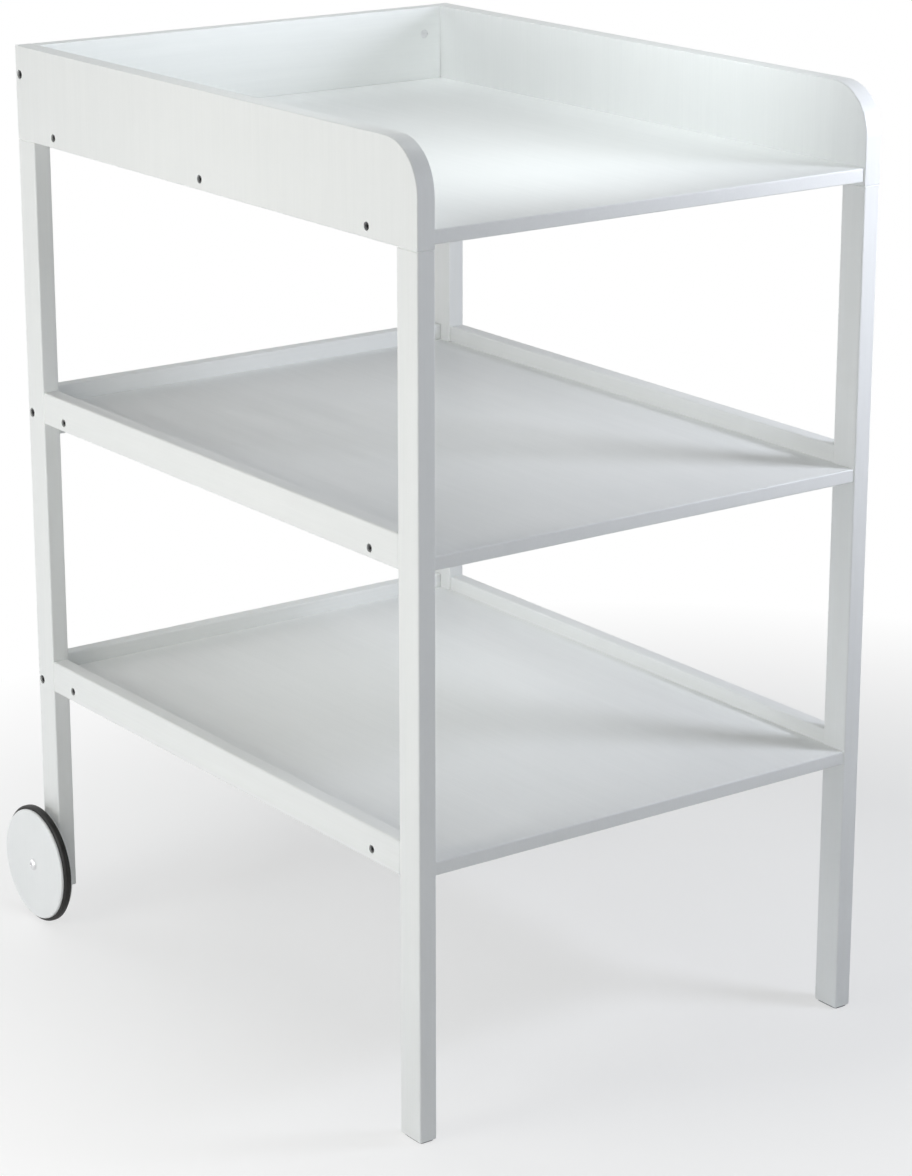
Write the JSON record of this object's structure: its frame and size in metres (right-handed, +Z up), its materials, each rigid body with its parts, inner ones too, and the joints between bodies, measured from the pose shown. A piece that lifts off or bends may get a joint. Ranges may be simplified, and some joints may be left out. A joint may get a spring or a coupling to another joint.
{
  "type": "changing table",
  "caption": "Open-front changing table of white painted wood: a rimmed top on slim legs, shelves with low lips below, and disc wheels with rubber tyres on the rear legs.",
  "frame": {"origin": "on the floor, under the middle of the box round the whole object with its wheels", "axes": "+X to the right along the open front, +Y from the open front to the back, +Z up"},
  "size_m": [0.6134, 0.781, 0.98],
  "materials": {
    "white_paint": "white satin paint over wood, faint grain",
    "wheel_paint": "white satin paint over wood",
    "tyre_rubber": "matte black rubber",
    "screw_steel": "dark zinc plated",
    "nut_steel": "bright zinc plated",
    "bush_plastic": "white nylon",
    "glide_plastic": "dark grey plastic",
    "dowel_wood": "bare beech"
  },
  "bodies": {
    "table": {"front_left_leg": "white_paint", "rear_left_leg": "white_paint", "left_side_panel": "white_paint", "left_middle_rail": "white_paint", "left_middle_shelf_screws": "screw_steel", "left_bottom_rail": "white_paint", "left_bottom_shelf_screws": "screw_steel", "front_left_glide": "glide_plastic", "left_panel_screws": "screw_steel", "left_back_panel_bolt": "screw_steel", "left_back_panel_nut": "nut_steel", "left_rail_dowels": "dowel_wood", "left_leg_top_dowels": "dowel_wood", "left_back_dowels": "dowel_wood", "left_wheel_spacer": "bush_plastic", "left_wheel_washer": "nut_steel", "left_axle_bolt": "nut_steel", "left_axle_insert": "nut_steel", "front_right_leg": "white_paint", "rear_right_leg": "white_paint", "right_side_panel": "white_paint", "right_middle_rail": "white_paint", "right_middle_shelf_screws": "screw_steel", "right_bottom_rail": "white_paint", "right_bottom_shelf_screws": "screw_steel", "front_right_glide": "glide_plastic", "right_panel_screws": "screw_steel", "right_back_panel_bolt": "screw_steel", "right_back_panel_nut": "nut_steel", "right_rail_dowels": "dowel_wood", "right_leg_top_dowels": "dowel_wood", "right_back_dowels": "dowel_wood", "right_wheel_spacer": "bush_plastic", "right_wheel_washer": "nut_steel", "right_axle_bolt": "nut_steel", "right_axle_insert": "nut_steel", "back_panel": "white_paint", "top_board": "white_paint", "middle_shelf": "white_paint", "middle_back_rail": "white_paint", "middle_back_rail_bolts": "screw_steel", "middle_back_rail_nuts": "nut_steel", "bottom_shelf": "white_paint", "bottom_back_rail": "white_paint", "bottom_back_rail_bolts": "screw_steel", "bottom_back_rail_nuts": "nut_steel"},
    "left_wheel": {"left_wheel_disc": "wheel_paint", "left_tyre": "tyre_rubber", "left_wheel_bush": "bush_plastic"},
    "right_wheel": {"right_wheel_disc": "wheel_paint", "right_tyre": "tyre_rubber", "right_wheel_bush": "bush_plastic"}
  },
  "joints": [
    {"name": "left_wheel_spin", "type": "hinge", "parent": "table", "child": "left_wheel", "pos_m": [-0.296, 0.324, 0.0665], "axis": [1, 0, 0], "continuous": true},
    {"name": "right_wheel_spin", "type": "hinge", "parent": "table", "child": "right_wheel", "pos_m": [0.296, 0.324, 0.0665], "axis": [1, 0, 0], "continuous": true}
  ]
}
